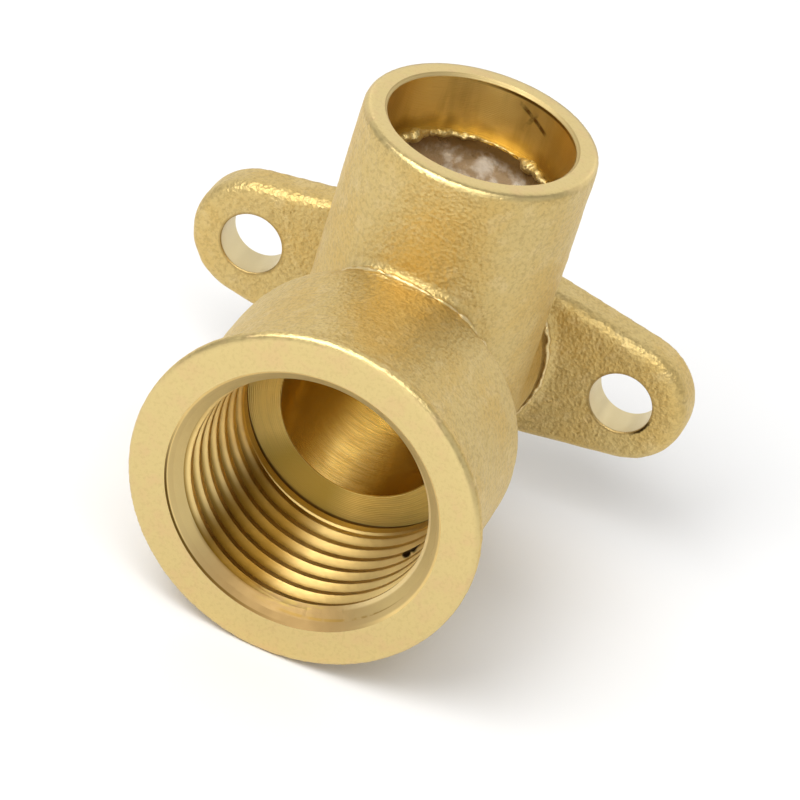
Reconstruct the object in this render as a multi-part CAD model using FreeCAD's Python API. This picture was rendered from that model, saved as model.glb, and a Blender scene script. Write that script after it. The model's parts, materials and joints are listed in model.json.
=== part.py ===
import FreeCAD, Part
import math
import os

# Wall plate elbow, cast in brass as one piece and then machined. Millimetres.
# The wall is the plane y = 0 and the outlet axis is the Y axis, so the threaded mouth faces -Y.
# The tube socket faces +Z, and the two fixing ears reach along X.

# Outlet bore, turned about the Y axis: G 1/2 thread at its major diameter, a plain land behind
# the thread with a relief groove, a flat shoulder, and the blind waterway
thread_major_diameter = 20.955
thread_length = 12.4
mouth_chamfer = 0.62
land_step = 0.83
land_length = 2.1
groove_depth = 0.5
groove_width = 0.55
waterway_diameter = 14.0
waterway_end_wall = 3.0
waterway_end_round = 2.0

# Outside of the outlet: rim, barrel and the neck that runs back to the wall
axis_to_rim = 24.3
barrel_wall = 1.92
barrel_end_wall = 1.7
barrel_rear_round = 2.0
rim_height = 1.75
rim_width = 1.3
rim_front_round = 0.35
rim_back_round = 0.45
rim_cove = 0.9
neck_wall = 2.5
neck_cove = 0.7

# Tube socket for 15 mm tube, with the height of its face above the outlet axis
socket_bore_diameter = 15.1
socket_depth = 5.0
socket_height = 22.1
socket_wall = 1.85
socket_wall_gap = 0.5
socket_edge_round = 0.45
socket_mouth_chamfer = 0.25
stop_width = 0.85

# Raised casting seam along the crossing of socket and barrel
seam_height = 0.4

# Wall plate: two ears that taper outwards from a round middle
screw_spacing = 32.6
screw_hole_diameter = 5.25
screw_hole_chamfer = 0.25
ear_wall = 2.75
plate_middle_radius = 8.3
plate_thickness = 3.4
plate_front_round = 1.1
plate_cove = 1.0
back_edge_round = 0.4

# Worked-out radii
thread_radius = thread_major_diameter / 2
land_radius = thread_radius - land_step
waterway_radius = waterway_diameter / 2
barrel_radius = thread_radius + barrel_wall
neck_radius = waterway_radius + neck_wall
socket_bore_radius = socket_bore_diameter / 2
socket_radius = socket_bore_radius + socket_wall
passage_radius = socket_bore_radius - stop_width
screw_hole_radius = screw_hole_diameter / 2
ear_radius = screw_hole_radius + ear_wall

# Worked-out stations
socket_y = -(socket_radius + socket_wall_gap)
rim_y = socket_y - axis_to_rim
thread_end_y = rim_y + thread_length
shoulder_y = thread_end_y + land_length
barrel_rear_y = shoulder_y + barrel_end_wall
stop_z = socket_height - socket_depth
ear_x = screw_spacing / 2
plate_front_y = -plate_thickness

origin = FreeCAD.Vector(0, 0, 0)
axis_y = FreeCAD.Vector(0, 1, 0)
axis_z = FreeCAD.Vector(0, 0, 1)
edge_share = 0.95  # most of an edge that the rounds at its two ends may take up


def toward(start, end, distance):
    direction = end - start
    return start + direction * (distance / direction.Length)


def rounded_outline(corners):
    """A closed wire through (point, radius) corners, with a tangent arc at each round one."""
    points = [point for point, radius in corners]
    count = len(points)
    half_angles = []
    setbacks = []
    for index, (point, radius) in enumerate(corners):
        half_angle = (points[index - 1] - point).getAngle(points[(index + 1) % count] - point) / 2
        half_angles.append(half_angle)
        setbacks.append(radius / math.tan(half_angle))
    # A round is limited by the edges that it joins
    limits = []
    for index in range(count):
        shares = [1.0]
        for neighbour in (index - 1, (index + 1) % count):
            needed = setbacks[index] + setbacks[neighbour]
            room = edge_share * (points[index] - points[neighbour]).Length
            if needed > room:
                shares.append(room / needed)
        limits.append(min(shares))
    edges = []
    ends = []
    for index, (point, radius) in enumerate(corners):
        setback = setbacks[index] * limits[index]
        start = toward(point, points[index - 1], setback)
        end = toward(point, points[(index + 1) % count], setback)
        ends.append((start, end))
        if radius > 0:
            inset = radius * limits[index] * (1 / math.sin(half_angles[index]) - 1)
            middle = toward(point, (start + end) * 0.5, inset)
            edges.append(Part.Arc(start, middle, end).toShape())
        if index > 0:
            edges.append(Part.LineSegment(ends[index - 1][1], start).toShape())
    edges.append(Part.LineSegment(ends[-1][1], ends[0][0]).toShape())
    return Part.Wire(Part.__sortEdges__(edges))


def turned(base, axis, corners):
    return Part.Face(rounded_outline(corners)).revolve(base, axis, 360)


def turned_about_outlet(stations, x=0):
    """A solid turned about a line along Y, from (y, radius, corner round) stations."""
    corners = [(FreeCAD.Vector(x + radius, y, 0), corner) for y, radius, corner in stations]
    return turned(FreeCAD.Vector(x, 0, 0), axis_y, corners)


def turned_about_socket(stations):
    """A solid turned about the socket axis, from (z, radius, corner round) stations."""
    corners = [(FreeCAD.Vector(radius, socket_y, z), corner) for z, radius, corner in stations]
    return turned(FreeCAD.Vector(0, socket_y, 0), axis_z, corners)


def outlet_casting():
    rim_radius = barrel_radius + rim_height
    return turned_about_outlet([
        (rim_y, 0, 0),
        (rim_y, rim_radius, rim_front_round),
        (rim_y + rim_width, rim_radius, rim_back_round),
        (rim_y + rim_width, barrel_radius, rim_cove),
        (barrel_rear_y, barrel_radius, barrel_rear_round),
        (barrel_rear_y, neck_radius, neck_cove),
        (0, neck_radius, 0),
        (0, 0, 0),
    ])


def socket_casting():
    return turned_about_socket([
        (0, 0, 0),
        (0, socket_radius, 0),
        (socket_height, socket_radius, socket_edge_round),
        (socket_height, 0, 0),
    ])


def casting_seam():
    """The bead that both surfaces would share if each stood out by the seam's height."""
    around_socket = turned_about_socket([
        (0, 0, 0),
        (0, socket_radius + seam_height, 0),
        (stop_z, socket_radius + seam_height, 0),
        (stop_z, 0, 0),
    ])
    around_barrel = turned_about_outlet([
        (rim_y + rim_width, 0, 0),
        (rim_y + rim_width, barrel_radius + seam_height, 0),
        (barrel_rear_y + seam_height, barrel_radius + seam_height, barrel_rear_round + seam_height),
        (barrel_rear_y + seam_height, 0, 0),
    ])
    return around_socket.common(around_barrel)


def plate_outline():
    """A round middle and two round ear ends, joined by tangents, in the plane of the ears' front."""
    lean = math.asin((plate_middle_radius - ear_radius) / ear_x)

    def on_circle(centre_x, radius, angle):
        return FreeCAD.Vector(centre_x + radius * math.sin(angle), plate_front_y, radius * math.cos(angle))

    edges = []
    for turn in (0, math.pi):
        side = math.cos(turn)
        middle_start = on_circle(0, plate_middle_radius, turn - lean)
        middle_end = on_circle(0, plate_middle_radius, turn + lean)
        ear_start = on_circle(side * ear_x, ear_radius, turn + lean)
        ear_end = on_circle(side * ear_x, ear_radius, turn + math.pi - lean)
        middle_next = on_circle(0, plate_middle_radius, turn + math.pi - lean)
        edges += [
            Part.Arc(middle_start, on_circle(0, plate_middle_radius, turn), middle_end).toShape(),
            Part.LineSegment(middle_end, ear_start).toShape(),
            Part.Arc(ear_start, on_circle(side * ear_x, ear_radius, turn + math.pi / 2), ear_end).toShape(),
            Part.LineSegment(ear_end, middle_next).toShape(),
        ]
    return Part.Wire(edges)


def edges_on_plane(shape, y):
    return [edge for edge in shape.Edges
            if all(abs(vertex.Point.y - y) < 1e-6 for vertex in edge.Vertexes)]


def wall_plate():
    plate = Part.Face(plate_outline()).extrude(axis_y * plate_thickness)
    return plate.makeFillet(plate_front_round, edges_on_plane(plate, plate_front_y))


def blend_neck_into_plate(casting):
    """Fillets the arcs where the round neck meets the flat front of the ears."""
    arcs = [edge for edge in edges_on_plane(casting, plate_front_y)
            if isinstance(edge.Curve, Part.Circle) and abs(edge.Curve.Radius - neck_radius) < 1e-6]
    return casting.makeFillet(plate_cove, arcs)


def outlet_bore():
    groove_start_y = shoulder_y - groove_width
    mouth_run_out = rim_width
    return turned_about_outlet([
        (rim_y - mouth_run_out, 0, 0),
        (rim_y - mouth_run_out, thread_radius + mouth_chamfer + mouth_run_out, 0),
        (rim_y + mouth_chamfer, thread_radius, 0),
        (thread_end_y, thread_radius, 0),
        (thread_end_y + land_step, land_radius, 0),
        (groove_start_y, land_radius, 0),
        (groove_start_y, land_radius + groove_depth, 0),
        (shoulder_y, land_radius + groove_depth, 0),
        (shoulder_y, waterway_radius, 0),
        (-waterway_end_wall, waterway_radius, waterway_end_round),
        (-waterway_end_wall, 0, 0),
    ])


def socket_bore():
    mouth_run_out = socket_depth
    return turned_about_socket([
        (0, 0, 0),
        (0, passage_radius, 0),
        (stop_z, passage_radius, 0),
        (stop_z, socket_bore_radius, 0),
        (socket_height - socket_mouth_chamfer, socket_bore_radius, 0),
        (socket_height + mouth_run_out, socket_bore_radius + socket_mouth_chamfer + mouth_run_out, 0),
        (socket_height + mouth_run_out, 0, 0),
    ])


def screw_hole(x):
    run_out = plate_thickness
    run_out_radius = screw_hole_radius + screw_hole_chamfer + run_out
    return turned_about_outlet([
        (plate_front_y - run_out, 0, 0),
        (plate_front_y - run_out, run_out_radius, 0),
        (plate_front_y + screw_hole_chamfer, screw_hole_radius, 0),
        (-screw_hole_chamfer, screw_hole_radius, 0),
        (run_out, run_out_radius, 0),
        (run_out, 0, 0),
    ], x)


def elbow_body():
    casting = blend_neck_into_plate(outlet_casting().fuse(wall_plate()))
    casting = casting.makeFillet(back_edge_round, edges_on_plane(casting, 0))
    casting = casting.fuse([socket_casting(), casting_seam()])
    cutters = [outlet_bore(), socket_bore(), screw_hole(ear_x), screw_hole(-ear_x)]
    return casting.cut(cutters).removeSplitter()


os.makedirs("parts", exist_ok=True)
elbow_body().exportStep("parts/elbow_body.step")
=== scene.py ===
import bpy
import bmesh
import json
import math
from mathutils import Matrix, Vector, noise
from mathutils.bvhtree import BVHTree


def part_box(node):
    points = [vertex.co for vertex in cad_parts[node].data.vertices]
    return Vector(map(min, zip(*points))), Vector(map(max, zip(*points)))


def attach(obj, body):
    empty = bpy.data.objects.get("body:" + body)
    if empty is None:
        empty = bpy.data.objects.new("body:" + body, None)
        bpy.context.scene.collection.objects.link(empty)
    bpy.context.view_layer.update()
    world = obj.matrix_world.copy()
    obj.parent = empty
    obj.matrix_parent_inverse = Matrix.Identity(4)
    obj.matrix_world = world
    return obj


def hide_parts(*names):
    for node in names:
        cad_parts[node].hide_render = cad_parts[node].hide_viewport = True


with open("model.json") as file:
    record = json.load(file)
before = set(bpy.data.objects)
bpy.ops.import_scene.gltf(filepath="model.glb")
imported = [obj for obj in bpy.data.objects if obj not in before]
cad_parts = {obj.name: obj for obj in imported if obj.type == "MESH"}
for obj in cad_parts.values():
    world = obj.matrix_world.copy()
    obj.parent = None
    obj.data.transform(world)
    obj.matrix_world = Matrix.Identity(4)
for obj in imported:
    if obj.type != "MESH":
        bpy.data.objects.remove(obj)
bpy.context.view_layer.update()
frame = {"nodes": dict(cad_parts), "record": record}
print("frame loaded:", sorted(frame["nodes"]))

mm = 0.001  # the scene is in metres, sizes below are in millimetres
mergeDistance = 1e-4
elbow = frame["nodes"]["elbow_body"]
elbowLow, elbowHigh = (Vector(corner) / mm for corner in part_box("elbow_body"))
mounts = {mount["name"]: mount for mount in frame["record"]["mounts"]}
threadRadius = mounts["threaded_outlet"]["dims"]["r_mm"]
socketBoreRadius = mounts["tube_socket"]["dims"]["r_mm"]
socketY = mounts["tube_socket"]["pos_m"][1] / mm
earX = mounts["screw_holes"]["dims"]["spacing_x_mm"] / 2
holeRadius = mounts["screw_holes"]["dims"]["hole_r_mm"]
rimY = elbowLow.y
socketTop = elbowHigh.z


class Socket:
    # a node's output, with arithmetic that adds Math nodes
    def __init__(self, shader, link):
        self.shader = shader
        self.link = link

    def maths(self, operation, *values):
        inputs = dict(enumerate(values))
        return self.shader.node("ShaderNodeMath", {"operation": operation}, inputs)

    def __add__(self, other):
        return self.maths("ADD", self, other)

    def __sub__(self, other):
        return self.maths("SUBTRACT", self, other)

    def __mul__(self, other):
        return self.maths("MULTIPLY", self, other)

    def __truediv__(self, other):
        return self.maths("DIVIDE", self, other)

    def __pow__(self, other):
        return self.maths("POWER", self, other)

    def __abs__(self):
        return self.maths("ABSOLUTE", self)

    def __radd__(self, other):
        return self.maths("ADD", other, self)

    def __rsub__(self, other):
        return self.maths("SUBTRACT", other, self)

    def __rmul__(self, other):
        return self.maths("MULTIPLY", other, self)

    def larger(self, other):
        return self.maths("MAXIMUM", self, other)

    def wave(self):
        return self.maths("SINE", self)

    def fraction(self):
        return self.maths("FRACT", self)

    def angleFrom(self, other):
        return self.maths("ARCTAN2", self, other)


class Shader:
    def __init__(self, name):
        self.material = bpy.data.materials.new(name)
        self.material.use_nodes = True
        self.tree = self.material.node_tree
        self.tree.nodes.clear()

    def node(self, kind, settings, inputs, output=0):
        made = self.tree.nodes.new(kind)
        for key, value in settings.items():
            setattr(made, key, value)
        for key, value in inputs.items():
            if isinstance(value, Socket):
                self.tree.links.new(value.link, made.inputs[key])
            else:
                made.inputs[key].default_value = value
        return Socket(self, made.outputs[output]) if made.outputs else None

    # place on the object in millimetres, as a vector and as its three parts
    def place(self):
        coordinates = self.node("ShaderNodeTexCoord", {}, {}, "Object")
        inputs = {0: coordinates, "Scale": 1 / mm}
        scaled = self.node("ShaderNodeVectorMath", {"operation": "SCALE"}, inputs)
        parts = [self.node("ShaderNodeSeparateXYZ", {}, {0: scaled}, axis) for axis in "XYZ"]
        return scaled, *parts

    # 0 below low, 1 above high, smooth between
    def rise(self, value, low, high):
        inputs = {"Value": value, "From Min": low, "From Max": high}
        return self.node("ShaderNodeMapRange", {"interpolation_type": "SMOOTHSTEP"}, inputs)

    def fall(self, value, low, high):
        return 1 - self.rise(value, low, high)

    def mix(self, factor, first, second):
        inputs = {0: factor, 6: first, 7: second}
        return self.node("ShaderNodeMix", {"data_type": "RGBA"}, inputs, 2)

    # a colour with another laid over it where the mask is 1
    def tint(self, color, mask, over):
        return self.mix(mask, color, rgba(*over))

    def grain(self, place, size, detail=3.0, roughness=0.55):
        inputs = {"Vector": place, "Scale": 1 / size, "Detail": detail, "Roughness": roughness}
        return self.node("ShaderNodeTexNoise", {}, inputs)

    def distance(self, place, point):
        return self.node("ShaderNodeVectorMath", {"operation": "DISTANCE"}, {0: place, 1: point}, "Value")

    def dimples(self, place, size):
        return self.node("ShaderNodeTexVoronoi", {}, {"Vector": place, "Scale": 1 / size})

    # 1 near an angle round an axis, 0 elsewhere; angles run from the second direction towards the first
    def around(self, first, second, radius, middle, spread):
        turn = math.radians(middle)
        aligned = (first * math.sin(turn) + second * math.cos(turn)) / radius
        full = spread * 0.3
        return self.rise(aligned, math.cos(math.radians(spread)), math.cos(math.radians(full)))

    # 1 along a scratch between two places, 0 elsewhere
    def scratch(self, across, up, start, end, width):
        length = math.dist(start, end)
        acrossShare, upShare = (end[0] - start[0]) / length, (end[1] - start[1]) / length
        along = (across - start[0]) * acrossShare + (up - start[1]) * upShare
        off = abs((across - start[0]) * upShare - (up - start[1]) * acrossShare)
        ends = self.rise(along, -width, width) * self.fall(along, length - width, length + width)
        return self.fall(off, width * 0.3, width) * ends

    def metal(self, color, roughness, height, metallic=1.0):
        bump = self.node("ShaderNodeBump", {}, {"Distance": mm, "Strength": 1.0, "Height": height})
        inputs = {"Base Color": color, "Metallic": metallic, "Roughness": roughness, "Normal": bump}
        surface = self.node("ShaderNodeBsdfPrincipled", {}, inputs)
        self.node("ShaderNodeOutputMaterial", {}, {"Surface": surface})
        return self.material


def rgba(red, green, blue):
    return (red, green, blue, 1.0)


# Blasted skin of the casting, with the faces that a lathe or a grinder has cleaned
skinFinish = {
    "khaki": (0.67, 0.517, 0.222),
    "warm": (0.67, 0.475, 0.163),
    "pale": (0.735, 0.585, 0.295),
    "shade": (0.40, 0.27, 0.09),
    "crevice": (0.30, 0.19, 0.06),
    "faced": (0.675, 0.527, 0.232),
    "facedPink": (0.685, 0.475, 0.234),
    "chip": (0.06, 0.035, 0.01),
    "roughness": 0.5,
    "facedRoughness": 0.36,
    "broadSize": 6.0,
    "patchSize": 1.6,
    "fineSize": 0.32,
    "rimBand": (0.2, 0.5),  # bands are distances where a mask starts to change and where it has changed
    "socketBand": (0.2, 0.55),
    "backBand": (-0.14, -0.06),
    "creviceLift": 0.85,
    "creviceBand": (0.25, 0.75),
    "creviceEnds": (6.0, 7.5),
    "earBand": (0.4, 0.6),
    "holeEdgeBand": (0.1, 0.3),
    "chipBand": (0.18, 0.32),
    "chipZone": (122, 28),  # middle and spread, in degrees round the right screw hole
    "blastSize": 0.42,
    "blastHeight": 0.09,
    "dimpleSize": 0.31,
    "dimpleHeight": 0.05,
    "grindHeight": 0.006,
    "turnHeight": 0.001,
}


def castSkin():
    finish = skinFinish
    shader = Shader("cast_skin")
    place, x, y, z = shader.place()
    radius = (x * x + z * z) ** 0.5
    facedRim = shader.fall(y - rimY, *finish["rimBand"])
    facedSocket = shader.fall(socketTop - z, *finish["socketBand"])
    groundBack = shader.rise(y, *finish["backBand"])
    faced = facedRim.larger(facedSocket).larger(groundBack)

    broad = shader.grain(place, finish["broadSize"])
    patch = shader.grain(place, finish["patchSize"], 4.0)
    fine = shader.grain(place, finish["fineSize"], 3.0, 0.65)
    ragged = fine - 0.5
    skin = shader.tint(rgba(*finish["khaki"]), shader.rise(broad, 0.4, 0.65) * 0.7, finish["warm"])
    skin = shader.tint(skin, shader.rise(patch, 0.5, 0.7) * 0.5, finish["pale"])
    skin = shader.tint(skin, shader.fall(fine, 0.36, 0.56) * 0.4, finish["shade"])

    # painted shade in the corner between the ears and the neck
    fromNeck = radius - form["neckRadius"]
    fromEar = y - form["earFrontY"] + finish["creviceLift"]
    fromCorner = (fromNeck * fromNeck + fromEar * fromEar) ** 0.5
    crevice = shader.fall(fromCorner + ragged * 0.6, *finish["creviceBand"])
    crevice = crevice * shader.fall(abs(z), *finish["creviceEnds"])
    skin = shader.tint(skin, crevice * 0.85, finish["crevice"])

    # painted shade at the front edge of both screw holes, and the painted shade of a chip at the right one
    across = abs(x) - earX
    fromHole = (across * across + z * z) ** 0.5 - holeRadius
    earFront = shader.fall(abs(y - form["earFrontY"]), *finish["earBand"])
    holeEdge = shader.fall(fromHole, *finish["holeEdgeBand"]) * earFront
    skin = shader.tint(skin, holeEdge * 0.5, finish["crevice"])
    chip = shader.fall(fromHole + ragged * 0.3, *finish["chipBand"]) * earFront
    chip = chip * shader.around(x - earX, z, fromHole + holeRadius, *finish["chipZone"])
    skin = shader.tint(skin, chip, finish["chip"])

    clean = shader.tint(rgba(*finish["faced"]), shader.rise(patch, 0.45, 0.75) * 0.6, finish["facedPink"])
    clean = shader.tint(clean, shader.fall(fine, 0.36, 0.52) * 0.15, finish["shade"])
    color = shader.mix(faced, skin, clean)
    roughness = finish["roughness"] + ragged * 0.25
    roughness = roughness + faced * (finish["facedRoughness"] - finish["roughness"])

    blasted = shader.grain(place, finish["blastSize"], 4.0, 0.6) * finish["blastHeight"]
    blasted = blasted + shader.dimples(place, finish["dimpleSize"]) * finish["dimpleHeight"]
    grindLines = (z * 31 + x * 4 + patch * 5).wave() * groundBack * finish["grindHeight"]
    turnLines = (radius * 42).wave() * (1 - groundBack) * finish["turnHeight"]
    turnLines = turnLines + fine * 0.03 + patch * 0.05
    height = blasted * (1 - faced) + (turnLines + grindLines) * faced
    return shader.metal(color, roughness, height)


# Flash that the blasting has worn bright
wornFinish = {
    "worn": (0.76, 0.605, 0.32),
    "dull": (0.67, 0.517, 0.222),
    "roughness": 0.42,
    "patchSize": 0.8,
    "grainSize": 0.4,
    "grainHeight": 0.08,
}


def wornFlash():
    finish = wornFinish
    shader = Shader("worn_flash")
    place, *_ = shader.place()
    patch = shader.grain(place, finish["patchSize"], 4.0)
    color = shader.tint(rgba(*finish["worn"]), shader.rise(patch, 0.4, 0.7), finish["dull"])
    roughness = finish["roughness"] + (patch - 0.5) * 0.2
    return shader.metal(color, roughness, shader.grain(place, finish["grainSize"]) * finish["grainHeight"])


# Bright brass that the boring tool and the drill have left, with their rings and scratches, painted shade in
# sectors, at edges and in the groove, and a painted highlight on the mouth's countersink
boredFinish = {
    "bright": (0.97, 0.80, 0.37),
    "dull": (0.88, 0.67, 0.27),
    "socket": (1.0, 0.76, 0.27),
    "socketSide": (0.62, 0.44, 0.14),
    "socketBand": (0.58, 0.40, 0.10),
    "socketFoot": (0.36, 0.23, 0.055),
    "lipEdge": (0.60, 0.47, 0.22),
    "land": (0.62, 0.45, 0.17),
    "brushed": (0.50, 0.32, 0.08),
    "hole": (0.70, 0.58, 0.33),
    "holeEdge": (0.42, 0.30, 0.12),
    "scratch": (0.22, 0.12, 0.025),
    "mouth": (0.67, 0.52, 0.24),
    "mouthRim": (0.95, 0.75, 0.34),
    "mouthLow": (0.34, 0.225, 0.09),
    "mouthLine": (0.16, 0.09, 0.02),
    "shoulder": (1.0, 0.73, 0.22),
    "stain": (0.56, 0.36, 0.06),
    "groove": (0.34, 0.21, 0.06),
    "roughness": 0.22,
    "socketRoughness": 0.38,
    "mouthRoughness": 0.6,
    "landRoughness": 0.36,
    "shoulderRoughness": 0.32,
    "streakSize": 1.4,
    "streakHeight": 0.008,
    "ringPitch": 0.16,
    "ringHeight": 0.0065,
    "shoulderRing": 0.006,
    "boreReach": (11.5, 11.6),  # radii round the outlet's axis
    "grooveFrom": (9.72, 9.8),
    "shoulderFrom": (7.1, 7.2),
    "waterwayTo": (7.2, 7.3),
    "holesFrom": (12.5, 12.6),
    "holeEdgeBand": (0.08, 0.2),
    "mouthBand": (0.7, 1.0),  # depths behind the rim's face
    "mouthRimBand": (0.15, 0.3),
    "lineFrom": (0.015, 0.04),
    "lineTo": (0.14, 0.2),
    "lipEdgeBand": (0.24, 0.27),  # depths below the socket's face
    "lipFrom": (0.27, 0.33),
    "lipTo": (0.45, 0.62),
    "footBand": (0.3, 1.6),  # heights over the socket's stop
    "mouthLowZone": (178, 58),  # middle and spread of each zone round its axis
    "mouthLineZone": (-132, 62),
    "waterwayStains": [(-122, 42), (140, 38)],
    "shoulderStain": (-157, 34),
    "socketMiddle": (-20, 65),
    "socketLip": (22, 50),
    "scratches": [((0.81, 21.2), (3.66, 19.87)), ((2.45, 20.9), (1.7, 19.1))],
    "scratchWidth": 0.26,
}


def boredBrass():
    finish = boredFinish
    shader = Shader("bored_brass")
    place, x, y, z = shader.place()
    radius = (x * x + z * z) ** 0.5
    depth = y - rimY
    fromShoulder = depth - outletCut["shoulderDepth"]
    overStop = z - form["stopZ"]
    streak = shader.grain(place, finish["streakSize"], 4.0)
    color = shader.tint(rgba(*finish["bright"]), shader.rise(streak, 0.42, 0.62) * 0.6, finish["dull"])

    # outlet, from its mouth to the waterway
    upper = shader.rise(overStop, -1.5, -1.0)
    lower = (1 - upper) * shader.fall(radius, *finish["boreReach"])
    mouth = shader.fall(depth, *finish["mouthBand"])
    # painted shade on the lower part of the mouth's countersink
    mouthLow = mouth * shader.around(x, z, radius, *finish["mouthLowZone"])
    # painted highlight: the outer band of the countersink lighter, except at the bottom
    mouthRim = shader.fall(depth, *finish["mouthRimBand"]) * (1 - mouthLow)
    # painted shadow of a small step at the inner edge of the rim's face, on the lower left
    mouthLine = shader.rise(depth, *finish["lineFrom"]) * shader.fall(depth, *finish["lineTo"])
    mouthLine = mouthLine * shader.around(x, z, radius, *finish["mouthLineZone"])
    behindLand = shader.rise(fromShoulder, -0.6, -0.5)
    land = shader.rise(depth - outletCut["threadDepth"], -0.1, 0) * (1 - behindLand) * lower
    # painted shade in the relief groove at the shoulder's corner
    groove = shader.rise(radius, *finish["grooveFrom"]) * behindLand * lower
    shoulder = shader.rise(fromShoulder, -0.1, -0.05) * shader.rise(radius, *finish["shoulderFrom"]) * lower
    # painted shade: dark sectors on the shoulder and on the waterway's wall
    shoulderStain = shoulder * shader.around(x, z, radius, *finish["shoulderStain"])
    waterway = shader.rise(fromShoulder, 0, 0.1) * shader.fall(radius, *finish["waterwayTo"]) * lower
    first, second = (shader.around(x, z, radius, *zone) for zone in finish["waterwayStains"])
    stain = (waterway * first.larger(second)).larger(shoulderStain * 0.9)
    turned = shader.node("ShaderNodeCombineXYZ", {}, {0: x / 3, 1: (y + radius) / 0.17, 2: z / 3})
    brushed = shader.fall(shader.grain(turned, 1.0, 2.0), 0.36, 0.56) * (1 - upper)
    brushed = brushed * (waterway * 0.45 + shoulder * 0.15)

    # tube socket
    behind = y - socketY
    reach = (x * x + behind * behind) ** 0.5
    fromTop = socketTop - z
    # painted shade: the socket wall darker towards both sides than in its middle
    side = upper * (1 - shader.around(x, behind, reach, *finish["socketMiddle"]))
    # vertical bands on the socket wall, partly scraping marks and partly painted reflection
    upright = shader.node("ShaderNodeCombineXYZ", {}, {0: x / 1.1, 1: behind / 1.1, 2: z / 9})
    scrapesAndReflection = upper * shader.rise(shader.grain(upright, 1.0), 0.46, 0.62)
    # painted shade on the socket wall near its bottom, over the burr
    foot = upper * shader.fall(overStop + (streak - 0.5) * 1.4, *finish["footBand"])
    lipEdge = shader.fall(fromTop, *finish["lipEdgeBand"])
    # painted shade: a dark line just below the inner edge of the socket's face, on one side
    lipShade = shader.rise(fromTop, *finish["lipFrom"]) * shader.fall(fromTop, *finish["lipTo"])
    lipShade = lipShade * shader.around(x, behind, reach, *finish["socketLip"])
    first, second = (shader.scratch(x, z, *ends, finish["scratchWidth"]) for ends in finish["scratches"])
    scratched = upper * shader.rise(behind, 1, 2) * first.larger(second * 0.6)
    scratched = scratched * shader.rise(streak, 0.3, 0.55)

    # screw holes
    hole = shader.rise(radius, *finish["holesFrom"]) * (1 - upper)
    # painted shade on the front edge of each screw hole's wall
    holeEdge = hole * shader.fall(y - form["earFrontY"], *finish["holeEdgeBand"])

    zones = [
        (upper, "socket"),
        (side, "socketSide"),
        (scrapesAndReflection * 0.25, "socketBand"),
        (foot * 0.5, "socketFoot"),
        # the scratch colour also paints the shade line below the lip
        (scratched.larger(lipShade), "scratch"),
        (lipEdge, "lipEdge"),
        (mouth, "mouth"),
        (mouthRim, "mouthRim"),
        (mouthLow, "mouthLow"),
        (shoulder, "shoulder"),
        (land, "land"),
        (brushed, "brushed"),
        (stain, "stain"),
        (groove, "groove"),
        (mouthLine, "mouthLine"),
        (hole, "hole"),
        (holeEdge, "holeEdge"),
    ]
    for mask, name in zones:
        color = shader.tint(color, mask, finish[name])
    roughness = finish["roughness"] + (streak - 0.5) * 0.18
    polish = [
        (mouth.larger(lipEdge), "mouthRoughness"),
        (land.larger(hole), "landRoughness"),
        (shoulder, "shoulderRoughness"),
        (upper * (1 - lipEdge), "socketRoughness"),
    ]
    for mask, name in polish:
        roughness = roughness + mask * (finish[name] - finish["roughness"])
    along = upper * z + (1 - upper) * (y + radius)
    rings = (along * (math.tau / finish["ringPitch"]) + streak * 3).wave() * (1 - mouth)
    rings = rings * (finish["ringHeight"] + shoulder * finish["shoulderRing"])
    return shader.metal(color, roughness, rings + streak * finish["streakHeight"])


# Raw cast wall of the passage below the socket, with a painted highlight on it
rawFinish = {
    "silver": (1.0, 0.91, 0.77),
    "brown": (0.52, 0.345, 0.155),
    "dark": (0.20, 0.11, 0.03),
    "roughness": 0.32,
    "metallic": 0.35,
    "patchSize": 1.3,
    "fineSize": 0.5,
    "fineHeight": 0.12,
    "darkBand": (-2.3, -0.6),  # heights over the socket's stop
    "shinePlace": (-0.25, -3.35, 15.0),
    "shineBand": (0.4, 1.3),
    "pitPlace": (-1.21, -3.46, 15.6),
    "pitBand": (0.05, 0.22),
}


def rawBrass():
    finish = rawFinish
    shader = Shader("raw_brass")
    place, _, _, z = shader.place()
    patch = shader.grain(place, finish["patchSize"], 4.0)
    fine = shader.grain(place, finish["fineSize"], 4.0)
    ragged = (patch - 0.5) * 1.6
    # painted highlight: a pale spot at a fixed place on the wall
    paintedHighlight = shader.fall(shader.distance(place, finish["shinePlace"]) + ragged, *finish["shineBand"])
    # a small dark spot on the wall
    darkSpot = shader.fall(shader.distance(place, finish["pitPlace"]) + (fine - 0.5) * 0.2, *finish["pitBand"])
    dark = shader.rise(z - form["stopZ"] + ragged * 0.5, *finish["darkBand"])
    color = shader.tint(rgba(*finish["silver"]), shader.rise(patch, 0.4, 0.6) * 0.8, finish["brown"])
    for mask, name in ((dark, "dark"), (paintedHighlight, "silver"), (darkSpot, "dark")):
        color = shader.tint(color, mask, finish[name])
    roughness = finish["roughness"] + (patch - 0.5) * 0.3
    return shader.metal(color, roughness, fine * finish["fineHeight"], finish["metallic"])


# Sizes that the casting's blends and the tools follow
form = {
    "barrelRadius": 12.3975,
    "barrelRearY": -18.0,
    "barrelRearRound": 2.0,
    "neckRadius": 9.5,
    "stopZ": 17.1,
    "earFrontY": -3.4,
}


def withModifier(shape, kind, settings, materials):
    mesh = bpy.data.meshes.new("work")
    shape.to_mesh(mesh)
    shape.free()
    for material in materials:
        mesh.materials.append(material)
    work = bpy.data.objects.new("work", mesh)
    bpy.context.scene.collection.objects.link(work)
    modifier = work.modifiers.new(kind.lower(), kind)
    for key, value in settings.items():
        setattr(modifier, key, value)
    graph = bpy.context.evaluated_depsgraph_get()
    made = bpy.data.meshes.new_from_object(work.evaluated_get(graph))
    result = bmesh.new()
    result.from_mesh(made)
    bpy.data.objects.remove(work)
    bpy.data.meshes.remove(made)
    return result


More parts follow.
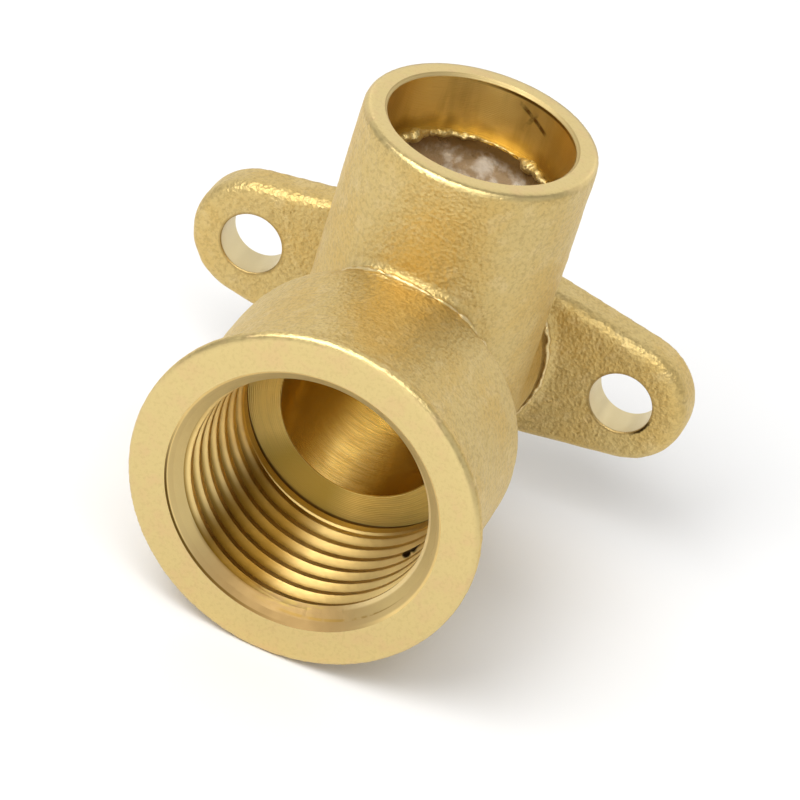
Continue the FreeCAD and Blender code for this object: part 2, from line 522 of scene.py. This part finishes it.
def addTo(shape, other):
    mesh = bpy.data.meshes.new("added")
    other.to_mesh(mesh)
    other.free()
    shape.from_mesh(mesh)
    bpy.data.meshes.remove(mesh)


# A solid turned about Y, from (along, radius) stations that start and end on the axis
def turnedSolid(stations, steps=160):
    shape = bmesh.new()
    corners = [shape.verts.new((radius, along, 0)) for along, radius in stations]
    edges = [shape.edges.new(pair) for pair in zip(corners, corners[1:])]
    bmesh.ops.spin(shape, geom=corners + edges, axis=(0, 1, 0), cent=(0, 0, 0), angle=math.tau,
                   steps=steps, use_merge=True)
    bmesh.ops.remove_doubles(shape, verts=shape.verts, dist=mergeDistance)
    bmesh.ops.recalc_face_normals(shape, faces=shape.faces)
    return shape


def onSocketAxis(shape):
    bmesh.ops.rotate(shape, verts=shape.verts, cent=(0, 0, 0), matrix=Matrix.Rotation(math.pi / 2, 3, "X"))
    bmesh.ops.translate(shape, verts=shape.verts, vec=(0, socketY, 0))
    return shape


def onHole(shape, side):
    bmesh.ops.translate(shape, verts=shape.verts, vec=(side * earX, 0, 0))
    return shape


# A round bead through the points, as thick at each as its radius says
def bead(points, radii):
    curve = bpy.data.curves.new("bead", "CURVE")
    curve.dimensions = "3D"
    curve.bevel_depth = 1.0
    curve.bevel_resolution = 3
    curve.use_fill_caps = True
    spline = curve.splines.new("POLY")
    spline.points.add(len(points) - 1)
    for knot, point, radius in zip(spline.points, points, radii):
        knot.co = (*point, 1)
        knot.radius = radius
    holder = bpy.data.objects.new("bead", curve)
    made = bpy.data.meshes.new_from_object(holder)
    shape = bmesh.new()
    shape.from_mesh(made)
    bpy.data.objects.remove(holder)
    bpy.data.meshes.remove(made)
    bmesh.ops.remove_doubles(shape, verts=shape.verts, dist=mergeDistance)  # the caps join the tube
    bmesh.ops.recalc_face_normals(shape, faces=shape.faces)
    return shape


def roughen(shape, relief, share=lambda place: 1):
    shape.normal_update()
    for vert in shape.verts:
        height = sum(size * noise.noise(vert.co / scale) for scale, size in relief)
        vert.co += vert.normal * height * share(vert.co)
    return shape


# Flash that the mould has left: along the crossing of socket and barrel, and where the ears meet the neck
flash = {
    # places on the seam, each an angle round the socket and a distance from its axis
    "seam": [(-34, 10.2), (-26, 9.75), (-15, 9.6), (0, 9.75),
             (20, 10.0), (31, 10.1), (36, 10.5), (39.5, 11.3)],
    "seamSteps": 9,
    "seamLift": 0.02,
    "seamRadius": 0.2,
    "earFrom": -42,
    "earTo": 46,
    "earReach": 0.1,
    "earForward": 0.45,
    "earWander": 0.5,
    "earWaves": 13,
    "earPattern": 7,
    "earLift": 0.06,
    "earRadius": 0.19,
    "earSteps": 90,
    "unevenness": 0.8,
    "unevenSize": 0.7,
    "endShare": 0.25,
    "endThickness": 0.35,
    "relief": [(0.5, 0.13), (0.25, 0.06)],
}


def unevenRadius(point, radius, share):
    f = flash
    ripple = noise.noise(Vector(point) / f["unevenSize"])
    fade = min(1, share / f["endShare"], (1 - share) / f["endShare"])
    return radius * (1 + f["unevenness"] * ripple) * (f["endThickness"] + (1 - f["endThickness"]) * fade)


def seamTargets():
    f = flash
    targets = []
    for (firstAngle, firstReach), (lastAngle, lastReach) in zip(f["seam"], f["seam"][1:]):
        for step in range(f["seamSteps"]):
            share = step / f["seamSteps"]
            angle = math.radians(firstAngle + (lastAngle - firstAngle) * share)
            reach = firstReach + (lastReach - firstReach) * share
            x, y = reach * math.sin(angle), socketY - reach * math.cos(angle)
            rearRound = form["barrelRearRound"]
            past = min(max(y - form["barrelRearY"] + rearRound, 0), rearRound)
            barrel = form["barrelRadius"] - rearRound + math.sqrt(rearRound ** 2 - past ** 2)
            targets.append(Vector((x, y, math.sqrt(barrel ** 2 - x ** 2))))
    return targets


def earTargets(side):
    f = flash
    targets = []
    for step in range(f["earSteps"] + 1):
        angle = math.radians(f["earFrom"] + (f["earTo"] - f["earFrom"]) * step / f["earSteps"])
        wander = f["earWander"] * noise.noise(Vector((side * f["earPattern"], angle * f["earWaves"], 0)))
        reach = form["neckRadius"] + f["earReach"] + wander
        forward = form["earFrontY"] - f["earForward"] - wander
        targets.append(Vector((side * reach * math.cos(angle), forward, reach * math.sin(angle))))
    return targets


# A bead that sits on the casting, as near to each target as its surface comes
def flashBead(surface, targets, radius, lift):
    points, radii = [], []
    for step, target in enumerate(targets):
        point, normal, _, _ = surface.find_nearest(target)
        points.append(point + normal * lift)
        radii.append(unevenRadius(point, radius, step / (len(targets) - 1)))
    return roughen(bead(points, radii), flash["relief"])


# Casting: the solid with its bores stopped up, run together and roughened
casting = {
    "voxel": 0.25,
    "softening": 4,
    "softenFactor": 0.5,
    "relief": [(4.0, 0.05), (1.3, 0.035), (0.65, 0.02)],  # size and height of the skin's unevenness
    "cleanBand": 0.6,
    "reliefBand": 0.8,
    "plugOverlap": 0.25,
    "plugInset": 0.1,
    "plugSteps": 96,
    "holePlugSteps": 48,
    "skinAngle": 60,
    "toolAngle": 20,
}


def roughCasting(skin):
    c = casting
    over = c["plugOverlap"]
    shape = bmesh.new()
    shape.from_mesh(elbow.data)
    bmesh.ops.scale(shape, vec=(1 / mm, 1 / mm, 1 / mm), verts=shape.verts)
    bmesh.ops.remove_doubles(shape, verts=shape.verts, dist=mergeDistance)
    shoulderY = rimY + outletCut["shoulderDepth"]
    endY = -outletCut["endWall"] - over
    wide = outletCut["mouthRadius"] + over
    narrow = outletCut["waterwayRadius"] - c["plugInset"]
    stopTop = form["stopZ"] + over
    socketWide = socketBoreRadius + over
    holeWide = holeRadius + over

    def plug(start, end, radius, steps):
        return turnedSolid([(start, 0), (start, radius), (end, radius), (end, 0)], steps)

    plugs = [
        plug(rimY, shoulderY - over, wide, c["plugSteps"]),
        plug(shoulderY - 1, endY, narrow, c["plugSteps"]),
        onSocketAxis(plug(stopTop, socketTop, socketWide, c["plugSteps"])),
    ]
    for side in (-1, 1):
        plugs.append(onHole(plug(form["earFrontY"], 0, holeWide, c["holePlugSteps"]), side))
    for filling in plugs:
        addTo(shape, filling)
    shape = withModifier(shape, "REMESH", {"mode": "VOXEL", "voxel_size": c["voxel"]}, [skin])
    for _ in range(c["softening"]):
        bmesh.ops.smooth_vert(shape, verts=shape.verts, factor=c["softenFactor"],
                              use_axis_x=True, use_axis_y=True, use_axis_z=True)

    def uncleaned(place):
        fromClean = min(place.y - rimY, socketTop - place.z, -place.y) - c["cleanBand"]
        return min(max(fromClean / c["reliefBand"], 0), 1)

    return roughen(shape, c["relief"], uncleaned)


# Tools: outlet bore, socket bore and screw holes, and the rough core that left the passage
outletCut = {
    "mouthRadius": 11.0975,
    "threadDepth": 12.4,
    "landRadius": 9.6475,
    "shoulderDepth": 14.5,
    "grooveRadius": 10.1475,
    "grooveWidth": 0.55,
    "waterwayRadius": 7.05,
    "endWall": 3.0,
    "endRound": 2.0,
    "endSteps": 10,
    "runOut": 1.0,
}
socketCut = {"chamfer": 0.25, "runOut": 1.0}
holeCut = {"chamfer": 0.06, "runOut": 1.0, "steps": 96}
core = {
    "radius": 6.55,
    "shift": (0.1, 0.1, 0),
    "foot": 3.0,
    "ringStep": 0.35,
    "steps": 120,
    "relief": [(2.4, 0.16), (0.9, 0.09)],
}


def boringTools():
    o = outletCut
    shoulderY = rimY + o["shoulderDepth"]
    threadEnd = rimY + o["threadDepth"]
    chamfer = o["mouthRadius"] - threadRadius
    roundStart = -o["endWall"] - o["endRound"]
    stations = [
        (rimY - o["runOut"], 0),
        (rimY - o["runOut"], o["mouthRadius"] + o["runOut"]),
        (rimY + chamfer, threadRadius),
        (threadEnd, threadRadius),
        (threadEnd + threadRadius - o["landRadius"], o["landRadius"]),
        (shoulderY - o["grooveWidth"], o["landRadius"]),
        (shoulderY - o["grooveWidth"], o["grooveRadius"]),
        (shoulderY, o["grooveRadius"]),
        (shoulderY, o["waterwayRadius"]),
    ]
    for step in range(o["endSteps"] + 1):
        angle = math.pi / 2 * step / o["endSteps"]
        stations.append((roundStart + o["endRound"] * math.sin(angle),
                         o["waterwayRadius"] - o["endRound"] * (1 - math.cos(angle))))
    stations.append((-o["endWall"], 0))
    tools = turnedSolid(stations)

    s = socketCut
    top = socketTop + s["runOut"]
    addTo(tools, onSocketAxis(turnedSolid([
        (form["stopZ"], 0),
        (form["stopZ"], socketBoreRadius),
        (socketTop - s["chamfer"], socketBoreRadius),
        (top, socketBoreRadius + s["chamfer"] + s["runOut"]),
        (top, 0),
    ])))

    h = holeCut
    wide = holeRadius + h["chamfer"] + h["runOut"]
    for side in (-1, 1):
        addTo(tools, onHole(turnedSolid([
            (form["earFrontY"] - h["runOut"], 0),
            (form["earFrontY"] - h["runOut"], wide),
            (form["earFrontY"] + h["chamfer"], holeRadius),
            (-h["chamfer"], holeRadius),
            (h["runOut"], wide),
            (h["runOut"], 0),
        ], h["steps"]), side))
    return tools


def passageCore():
    top = form["stopZ"] + casting["plugOverlap"]
    rings = round((top - core["foot"]) / core["ringStep"])
    stations = [(core["foot"], 0)]
    for ring in range(rings + 1):
        stations.append((core["foot"] + (top - core["foot"]) * ring / rings, core["radius"]))
    stations.append((top, 0))
    shape = onSocketAxis(turnedSolid(stations, core["steps"]))
    bmesh.ops.translate(shape, verts=shape.verts, vec=core["shift"])
    return roughen(shape, core["relief"])


def cut(shape, tool, toolMaterial, materials, operation="DIFFERENCE"):
    mesh = bpy.data.meshes.new("tool")
    tool.to_mesh(mesh)
    tool.free()
    mesh.materials.append(toolMaterial)
    holder = bpy.data.objects.new("tool", mesh)
    bpy.context.scene.collection.objects.link(holder)
    settings = {"operation": operation, "solver": "EXACT", "object": holder, "material_mode": "TRANSFER"}
    result = withModifier(shape, "BOOLEAN", settings, materials)
    bpy.data.objects.remove(holder)
    return result


# Edges sharper than these angles stay sharp, on the skin and where a tool has cut
def addPiece(name, shape, materials, skinAngle, toolAngle):
    bmesh.ops.dissolve_degenerate(shape, edges=shape.edges, dist=mergeDistance)
    bmesh.ops.scale(shape, vec=(mm, mm, mm), verts=shape.verts)
    for face in shape.faces:
        face.smooth = True
    for edge in shape.edges:
        tooled = any(face.material_index > 0 for face in edge.link_faces)
        limit = toolAngle if tooled else skinAngle
        edge.smooth = edge.calc_face_angle(0) < math.radians(limit)
    mesh = bpy.data.meshes.new(name)
    shape.to_mesh(mesh)
    shape.free()
    for material in materials:
        mesh.materials.append(material)
    piece = bpy.data.objects.new(name, mesh)
    bpy.context.scene.collection.objects.link(piece)
    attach(piece, "root")
    mesh.calc_loop_triangles()
    print(name, "made:", len(mesh.loop_triangles), "triangles")
    return piece


# Ragged burr where the socket's tool broke through into the cast passage
burr = {
    "reach": 6.7,
    "lift": 0.06,
    "radius": 0.1,
    "lumps": [(172, 8, 0.34), (153, 11, 0.42), (130, 9, 0.3), (110, 6, 0.2), (60, 7, 0.4), (46, 5, 0.3),
              (300, 12, 0.2)],
    "ragged": 0.5,
    "raggedSize": 0.6,
    "wander": 0.2,
    "wanderSize": 0.8,
    "wanderPattern": (9, 0, 0),
    "lumpLean": 0.5,
    "relief": [(0.6, 0.16), (0.3, 0.1)],
    "steps": 300,
}


def socketBurr():
    b = burr
    points, radii = [], []
    for step in range(b["steps"] + 1):
        degrees = 360 * step / b["steps"]
        angle = math.radians(degrees)
        ring = Vector((math.cos(angle), math.sin(angle), 0)) * b["reach"]
        lump = sum(size * math.exp(-((degrees - middle) / spread) ** 2)
                   for middle, spread, size in b["lumps"])
        ragged = 1 + b["ragged"] * noise.noise(ring / b["raggedSize"])
        wander = b["wander"] * noise.noise(ring / b["wanderSize"] + Vector(b["wanderPattern"]))
        inward = 1 + (wander - b["lumpLean"] * lump) / b["reach"]
        points.append(ring * inward + Vector(core["shift"]) + Vector((0, socketY, form["stopZ"] + b["lift"])))
        radii.append((b["radius"] + lump) * ragged)
    return roughen(bead(points, radii), b["relief"])


skin, worn, bored, raw = castSkin(), wornFlash(), boredBrass(), rawBrass()
body = roughCasting(skin)
print("casting run together:", len(body.faces), "faces")
body = cut(body, boringTools(), bored, [skin])
body = cut(body, passageCore(), raw, [skin, bored])
surface = BVHTree.FromBMesh(body)
skinAngle, toolAngle = casting["skinAngle"], casting["toolAngle"]
castBody = addPiece("cast_body", body, [skin, bored, raw], skinAngle, toolAngle)
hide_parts("elbow_body")
seam = flashBead(surface, seamTargets(), flash["seamRadius"], flash["seamLift"])
addPiece("seam_bead", seam, [worn], skinAngle, skinAngle)
for name, side in (("ear_flash_left", -1), ("ear_flash_right", 1)):
    earFlash = flashBead(surface, earTargets(side), flash["earRadius"], flash["earLift"])
    addPiece(name, earFlash, [worn], skinAngle, skinAngle)
addPiece("socket_burr", socketBurr(), [skin], skinAngle, skinAngle)


# Female thread with the standard's round profile
thread = {
    "pitch": 1.814,
    "flankAngle": 27.5,
    "roundRadius": 0.249,
    "crestRadius": 9.62,
    "crestEase": 0.05,
    "sink": 0.06,
    "proud": 0.012,
    "turnGap": 0.01,
    "tipPast": 0.2,
    "plainFrom": 0.3,
    "plainDepth": 1.15,
    "firstDepth": -0.85,
    "turns": 7.75,
    "runOutDepth": 13.25,
    "runOutRise": 1.0,
    "startAngle": 35,
    "stepsPerTurn": 96,
    "edgeAngle": 32,
}


def threadRidge():
    t = thread
    half = t["pitch"] / 2 - t["turnGap"]
    r, ease = t["roundRadius"], t["crestEase"]
    lean = 90 - t["flankAngle"]
    # half of the section from root to crest, as places along the axis and inwards from the wall
    side = [(half, -t["sink"])]
    for angle in (0, 0.35 * lean, 0.7 * lean, lean):
        turn = math.radians(angle)
        side.append((half - r * math.sin(turn), max(r - r * math.cos(turn), t["proud"])))
    crestHeight = threadRadius - t["crestRadius"]
    crestHalf = side[-1][0] - (crestHeight - side[-1][1]) * math.tan(math.radians(t["flankAngle"]))
    side += [(crestHalf + ease * 0.5, crestHeight - ease), (crestHalf - ease, crestHeight)]
    section = [(-along, inward) for along, inward in side] + side[::-1]
    ridge = bmesh.new()
    firstY = rimY + t["firstDepth"]
    corners = [ridge.verts.new((0, firstY + along, threadRadius - inward)) for along, inward in section]
    profile = ridge.faces.new(corners)
    steps = round(t["turns"] * t["stepsPerTurn"])
    rise = t["pitch"] / t["stepsPerTurn"]
    turn = Matrix.Rotation(math.radians(t["startAngle"]), 3, "Y")
    bmesh.ops.rotate(ridge, verts=ridge.verts, cent=(0, 0, 0), matrix=turn)
    bmesh.ops.spin(ridge, geom=[profile], axis=(0, 1, 0), cent=(0, 0, 0), dvec=(0, rise, 0),
                   angle=math.tau * t["turns"], steps=steps)
    for vert in ridge.verts:
        radius = math.hypot(vert.co.x, vert.co.z)
        runOut = t["crestRadius"] + t["runOutRise"] * (vert.co.y - rimY - t["runOutDepth"])
        scale = max(radius, runOut) / radius
        vert.co = (vert.co.x * scale, vert.co.y, vert.co.z * scale)
    bmesh.ops.recalc_face_normals(ridge, faces=ridge.faces)
    return ridge


# The plain start of the bore, and the countersink that opens it
def outletThread(brass):
    t = thread
    outside = threadRadius + t["sink"]
    plainFrom, plainTo = rimY + t["plainFrom"], rimY + t["plainDepth"]
    plain = [(plainFrom, 0), (plainFrom, outside), (plainTo, outside), (plainTo, 0)]
    shape = cut(threadRidge(), turnedSolid(plain), brass, [brass], "UNION")
    mouth = outletCut["mouthRadius"] - t["proud"]
    front, tip = t["pitch"] * 2, mouth - t["crestRadius"] + t["tipPast"]
    countersink = [(rimY - front, 0), (rimY - front, mouth + front), (rimY + tip, mouth - tip),
                   (rimY + tip, 0)]
    return cut(shape, turnedSolid(countersink), brass, [brass])


# Brass of the thread, with a scar, painted shade on flanks, roots and sectors and at two nicks, and painted
# highlight and shade at the mouth
threadFinish = {
    "crest": (0.93, 0.70, 0.29),
    "crestLow": (0.53, 0.365, 0.13),
    "flank": (0.34, 0.21, 0.05),
    "mouth": (0.69, 0.54, 0.245),
    "mouthEdge": (1.0, 0.82, 0.44),
    "stain": (0.20, 0.10, 0.01),
    "scar": (0.36, 0.25, 0.08),
    "nick": (0.02, 0.01, 0.004),
    "roughness": 0.42,
    "mouthRoughness": 0.55,
    "patchSize": 1.6,
    "grainSize": 0.5,
    "grainHeight": 0.02,
    "flankBand": (0.2, 0.3),  # shares of the pitch, from the middle of the groove
    "lineBand": (0.02, 0.07),
    "coneBand": (0.03, 0.08),
    "mouthTo": (1.44, 1.56),  # depths behind the rim's face
    "edgeFrom": (1.12, 1.28),
    "stainFrom": (0.95, 1.25),
    "scarFrom": (0.75, 1.0),
    "scarTo": (1.9, 2.4),
    "stainZone": (-153, 30),  # middle and spread of each zone round the outlet's axis
    "wornZone": (150, 65),
    "lowZone": (172, 42),
    "edgeZone": (92, 60),
    "lineZone": (142, 52),
    "scarZone": (170, 22),
    "nicks": [((7.45, -25.55, -6.1), 0.55), ((7.85, -25.4, -5.5), 0.6)],
}


def threadBrass():
    finish = threadFinish
    shader = Shader("thread_brass")
    place, x, y, z = shader.place()
    radius = (x * x + z * z) ** 0.5
    depth = y - rimY

    def zone(name):
        return shader.around(x, z, radius, *finish[name])

    turned = (x.angleFrom(z) - math.radians(thread["startAngle"])) / math.tau
    phase = ((depth - thread["firstDepth"]) / thread["pitch"] - turned).fraction()
    fromGroove = abs(phase - 0.5)
    fromCone = abs(radius + depth - outletCut["mouthRadius"] + thread["proud"])
    mouth = shader.fall(fromCone, *finish["coneBand"]) * shader.fall(depth, *finish["mouthTo"])
    # painted shade on the lower part of the countersink, as on the bore
    mouthLow = mouth * shader.around(x, z, radius, *boredFinish["mouthLowZone"])
    # painted highlight along the countersink's inner edge, on the right
    mouthEdge = mouth * shader.rise(depth, *finish["edgeFrom"]) * zone("edgeZone")
    patch = shader.grain(place, finish["patchSize"], 4.0)
    # painted shade of shallow groove lines in the countersink, at the bottom
    grooveLineShade = mouth * shader.fall(fromGroove, *finish["lineBand"]) * zone("lineZone")
    grooveLineShade = grooveLineShade * shader.rise(patch, 0.4, 0.52)
    # painted shade on the flanks and roots, narrower in one sector so the crests read broader there
    flank = shader.fall(fromGroove + zone("wornZone") * 0.08, *finish["flankBand"]) * (1 - mouth)
    # painted shade: a dark band along the thread's lower left
    stain = zone("stainZone") * shader.rise(depth, *finish["stainFrom"])
    turning = shader.node("ShaderNodeCombineXYZ", {}, {0: x / 1.3, 1: y / 0.22, 2: z / 1.3})
    scar = shader.rise(shader.grain(turning, 1.0), 0.5, 0.6) * zone("scarZone")
    scar = scar * shader.rise(depth, *finish["scarFrom"]) * shader.fall(depth, *finish["scarTo"])

    # painted shade: the crests darker on the lower sector
    color = shader.tint(rgba(*finish["crest"]), zone("lowZone"), finish["crestLow"])
    color = shader.tint(color, mouth, finish["mouth"])
    color = shader.tint(color, mouthLow, boredFinish["mouthLow"])
    color = shader.tint(color, mouthEdge, finish["mouthEdge"])
    color = shader.tint(color, grooveLineShade * 0.8, finish["flank"])
    color = shader.tint(color, flank, finish["flank"])
    color = shader.tint(color, stain * 0.95, finish["stain"])
    color = shader.tint(color, scar, finish["scar"])
    # painted shade of two small nicks in the thread
    for point, size in finish["nicks"]:
        nick = shader.fall(shader.distance(place, point) + patch * 0.3, size, size + 0.2)
        color = shader.tint(color, nick, finish["nick"])
    roughness = finish["roughness"] + (patch - 0.5) * 0.2
    roughness = roughness + mouth * (finish["mouthRoughness"] - finish["roughness"])
    return shader.metal(color, roughness, shader.grain(place, finish["grainSize"]) * finish["grainHeight"])


threaded = threadBrass()
addPiece("outlet_thread", outletThread(threaded), [threaded], thread["edgeAngle"], thread["edgeAngle"])


# Floor, light and camera
studio = {
    "floorSize": 6.0,
    "floorColor": (0.87, 0.87, 0.87),
    "worldColor": (1.0, 1.0, 1.0),
    "worldStrength": 0.36,
    "softboxes": [
        {"name": "key", "place": (-170, -250, 380), "size": 320, "power": 1.82},
        {"name": "back", "place": (-40, 380, 300), "size": 500, "power": 0.62},
        {"name": "backLeft", "place": (-340, 250, 140), "size": 380, "power": 0.32},
        {"name": "right", "place": (420, -120, 150), "size": 360, "power": 0.16},
        {"name": "backRight", "place": (270, 340, 130), "size": 380, "power": 0.36},
        {"name": "front", "place": (120, -290, 390), "size": 220, "power": 0.5},
        {"name": "low", "place": (30, -430, 120), "size": 280, "power": 0.26},
    ],
}


def studioFloor():
    floor = bmesh.new()
    bmesh.ops.create_grid(floor, x_segments=1, y_segments=1, size=studio["floorSize"] / 2)
    bmesh.ops.translate(floor, verts=floor.verts, vec=(0, 0, elbowLow.z * mm))
    mesh = bpy.data.meshes.new("floor")
    floor.to_mesh(mesh)
    floor.free()
    shader = Shader("floor_paper")
    surface = shader.node("ShaderNodeBsdfDiffuse", {}, {"Color": rgba(*studio["floorColor"])})
    shader.node("ShaderNodeOutputMaterial", {}, {"Surface": surface})
    mesh.materials.append(shader.material)
    piece = bpy.data.objects.new("floor", mesh)
    bpy.context.scene.collection.objects.link(piece)


def studioLight():
    world = bpy.data.worlds.new("studio")
    world.use_nodes = True
    background = world.node_tree.nodes["Background"]
    background.inputs["Color"].default_value = rgba(*studio["worldColor"])
    background.inputs["Strength"].default_value = studio["worldStrength"]
    bpy.context.scene.world = world
    aim = (elbowLow + elbowHigh) / 2
    for box in studio["softboxes"]:
        light = bpy.data.lights.new(box["name"], "AREA")
        light.size = box["size"] * mm
        light.energy = box["power"]
        lamp = bpy.data.objects.new(box["name"], light)
        lamp.location = Vector(box["place"]) * mm
        lamp.rotation_euler = (aim - Vector(box["place"])).to_track_quat("-Z", "Y").to_euler()
        bpy.context.scene.collection.objects.link(lamp)


camera = {
    "azimuth": 10.07,
    "elevation": 32.75,
    "roll": 18.03,
    "distance": 387.36,
    "target": (1.903, -18.292, 1.658),
    "lens": 225,
    "sensor": 36,
    "clip": (0.01, 20),
}


def photoCamera():
    c = camera
    data = bpy.data.cameras.new("camera")
    data.lens = c["lens"]
    data.sensor_width = c["sensor"]
    data.clip_start, data.clip_end = c["clip"]
    turn = (Matrix.Rotation(math.radians(c["azimuth"]), 4, "Z")
            @ Matrix.Rotation(math.radians(90 - c["elevation"]), 4, "X")
            @ Matrix.Rotation(math.radians(c["roll"]), 4, "Z"))
    back = Matrix.Translation((0, 0, c["distance"] * mm))
    eye = bpy.data.objects.new("camera", data)
    eye.matrix_world = Matrix.Translation(Vector(c["target"]) * mm) @ turn @ back
    bpy.context.scene.collection.objects.link(eye)
    bpy.context.scene.camera = eye


studioFloor()
studioLight()
photoCamera()
bpy.context.scene.view_settings.view_transform = "Standard"
print("studio set")
